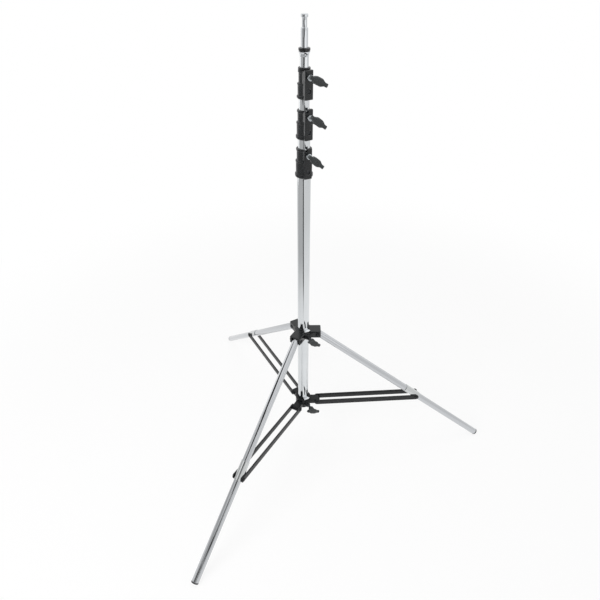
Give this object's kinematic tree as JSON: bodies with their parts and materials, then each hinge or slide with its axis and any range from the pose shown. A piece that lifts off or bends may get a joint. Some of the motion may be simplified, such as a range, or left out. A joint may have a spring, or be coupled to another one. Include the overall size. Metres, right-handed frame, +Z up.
{
  "type": "baby stand",
  "caption": "Chrome steel lighting stand on folding braced legs, with telescoping risers held by black T-handled locks and a grooved stud on top.",
  "frame": {"origin": "middle of the footprint's box on the floor; the column stands on the X axis at x = -0.1579 m", "axes": "+Z up along the column; one leg points along +X and the others at plus and minus 120 degrees; the T handles face about 60 degrees from +X towards -Y"},
  "size_m": [0.974, 1.1212, 1.3623],
  "materials": {
    "chrome_tube": "polished chrome plate on steel",
    "steel_screw": "bright zinc plate",
    "black_casting": "satin black enamel on cast alloy",
    "black_handle": "satin dark grey enamel on cast alloy",
    "black_brace": "satin black enamel on flat steel bar",
    "black_ring": "gloss black moulding",
    "black_screw": "black oxide",
    "foot_plug": "moulded black rubber",
    "nylon": "natural nylon",
    "brass_shoe": "machined"
  },
  "bodies": {
    "column": {"column_tube": "chrome_tube", "column_end_plug": "nylon", "lock_1_casting": "black_casting", "lock_1_shoe": "brass_shoe", "lock_1_cap_screw": "black_screw", "lower_collar": "black_casting", "lower_collar_shoe": "brass_shoe", "brace_right_pivot_pin": "steel_screw", "brace_back_pivot_pin": "steel_screw", "brace_front_pivot_pin": "steel_screw"},
    "lock_1_knob": {"lock_1_screw": "steel_screw", "lock_1_handle": "black_handle"},
    "riser_1": {"riser_1_tube": "chrome_tube", "riser_1_guide": "nylon", "lock_2_casting": "black_casting", "lock_2_shoe": "brass_shoe", "lock_2_cap_screw": "black_screw"},
    "lock_2_knob": {"lock_2_screw": "steel_screw", "lock_2_handle": "black_handle"},
    "riser_2": {"riser_2_tube": "chrome_tube", "riser_2_guide": "nylon", "lock_3_casting": "black_casting", "lock_3_shoe": "brass_shoe", "lock_3_cap_screw": "black_screw", "lock_3_ring": "black_ring"},
    "lock_3_knob": {"lock_3_screw": "steel_screw", "lock_3_handle": "black_handle"},
    "riser_3": {"riser_3_tube": "chrome_tube", "riser_3_guide": "nylon", "stud": "chrome_tube", "stud_ring": "black_ring", "stud_pin": "black_screw"},
    "upper_collar": {"upper_collar": "black_casting", "upper_collar_shoe": "brass_shoe", "leg_right_pivot_bolt": "steel_screw", "leg_back_pivot_bolt": "steel_screw", "leg_front_pivot_bolt": "steel_screw"},
    "upper_collar_knob": {"upper_collar_screw": "black_screw", "upper_collar_handle": "black_handle"},
    "lower_collar_knob": {"lower_collar_screw": "black_screw", "lower_collar_handle": "black_handle"},
    "leg_right": {"leg_right_tube": "chrome_tube", "leg_right_foot": "foot_plug", "leg_right_bracket": "chrome_tube", "leg_right_cross_bolt": "steel_screw"},
    "braces_right": {"brace_right_left": "black_brace", "brace_right_right": "black_brace"},
    "leg_back": {"leg_back_tube": "chrome_tube", "leg_back_foot": "foot_plug", "leg_back_bracket": "chrome_tube", "leg_back_cross_bolt": "steel_screw"},
    "braces_back": {"brace_back_left": "black_brace", "brace_back_right": "black_brace"},
    "leg_front": {"leg_front_tube": "chrome_tube", "leg_front_foot": "foot_plug", "leg_front_bracket": "chrome_tube", "leg_front_cross_bolt": "steel_screw"},
    "braces_front": {"brace_front_left": "black_brace", "brace_front_right": "black_brace"}
  },
  "joints": [
    {"name": "riser_1_slide", "type": "slide", "parent": "column", "child": "riser_1", "axis": [0, 0, 1], "range_m": [0, 0.806]},
    {"name": "riser_2_slide", "type": "slide", "parent": "riser_1", "child": "riser_2", "axis": [0, 0, 1], "range_m": [0, 0.832]},
    {"name": "riser_3_slide", "type": "slide", "parent": "riser_2", "child": "riser_3", "axis": [0, 0, 1], "range_m": [0, 0.852]},
    {"name": "leg_fold", "type": "slide", "parent": "column", "child": "upper_collar", "axis": [0, 0, 1], "range_m": [0, 0.48586]},
    {"name": "leg_right_hinge", "type": "hinge", "parent": "upper_collar", "child": "leg_right", "pos_m": [-0.11339, 0, 0.4868], "axis": [0, 1, 0], "range_deg": [0, 51.06]},
    {"name": "leg_back_hinge", "type": "hinge", "parent": "upper_collar", "child": "leg_back", "pos_m": [-0.18014, 0.03854, 0.4868], "axis": [-0.866, -0.5, 0], "range_deg": [0, 51.06]},
    {"name": "leg_front_hinge", "type": "hinge", "parent": "upper_collar", "child": "leg_front", "pos_m": [-0.18014, -0.03854, 0.4868], "axis": [0.866, -0.5, 0], "range_deg": [0, 51.06]},
    {"name": "brace_right_hinge", "type": "hinge", "parent": "column", "child": "braces_right", "pos_m": [-0.10889, 0, 0.1868], "axis": [0, -1, 0], "range_deg": [0, 87.29]},
    {"name": "brace_back_hinge", "type": "hinge", "parent": "column", "child": "braces_back", "pos_m": [-0.18239, 0.04244, 0.1868], "axis": [0.866, 0.5, 0], "range_deg": [0, 87.29]},
    {"name": "brace_front_hinge", "type": "hinge", "parent": "column", "child": "braces_front", "pos_m": [-0.18239, -0.04244, 0.1868], "axis": [-0.866, 0.5, 0], "range_deg": [0, 87.29]},
    {"name": "lock_1_turn", "type": "hinge", "parent": "column", "child": "lock_1_knob", "pos_m": [-0.15789, 0, 1.0605], "axis": [0.4067, -0.9135, 0], "range_deg": [0, 360]},
    {"name": "lock_2_turn", "type": "hinge", "parent": "riser_1", "child": "lock_2_knob", "pos_m": [-0.15789, 0, 1.1515], "axis": [0.5, -0.866, 0], "range_deg": [0, 360]},
    {"name": "lock_3_turn", "type": "hinge", "parent": "riser_2", "child": "lock_3_knob", "pos_m": [-0.15789, 0, 1.239], "axis": [0.5, -0.866, 0], "range_deg": [0, 360]},
    {"name": "upper_collar_turn", "type": "hinge", "parent": "upper_collar", "child": "upper_collar_knob", "pos_m": [-0.15789, 0, 0.4868], "axis": [0.5, -0.866, 0], "range_deg": [0, 360]},
    {"name": "lower_collar_turn", "type": "hinge", "parent": "column", "child": "lower_collar_knob", "pos_m": [-0.15789, 0, 0.1868], "axis": [0.5, -0.866, 0], "range_deg": [0, 360]}
  ],
  "couplings": [
    {"joint": "leg_right_hinge", "follows": "leg_fold", "rad_per_m": 1.8338},
    {"joint": "leg_back_hinge", "follows": "leg_fold", "rad_per_m": 1.8338},
    {"joint": "leg_front_hinge", "follows": "leg_fold", "rad_per_m": 1.8338},
    {"joint": "brace_right_hinge", "follows": "leg_fold", "rad_per_m": 3.1352},
    {"joint": "brace_back_hinge", "follows": "leg_fold", "rad_per_m": 3.1352},
    {"joint": "brace_front_hinge", "follows": "leg_fold", "rad_per_m": 3.1352}
  ]
}
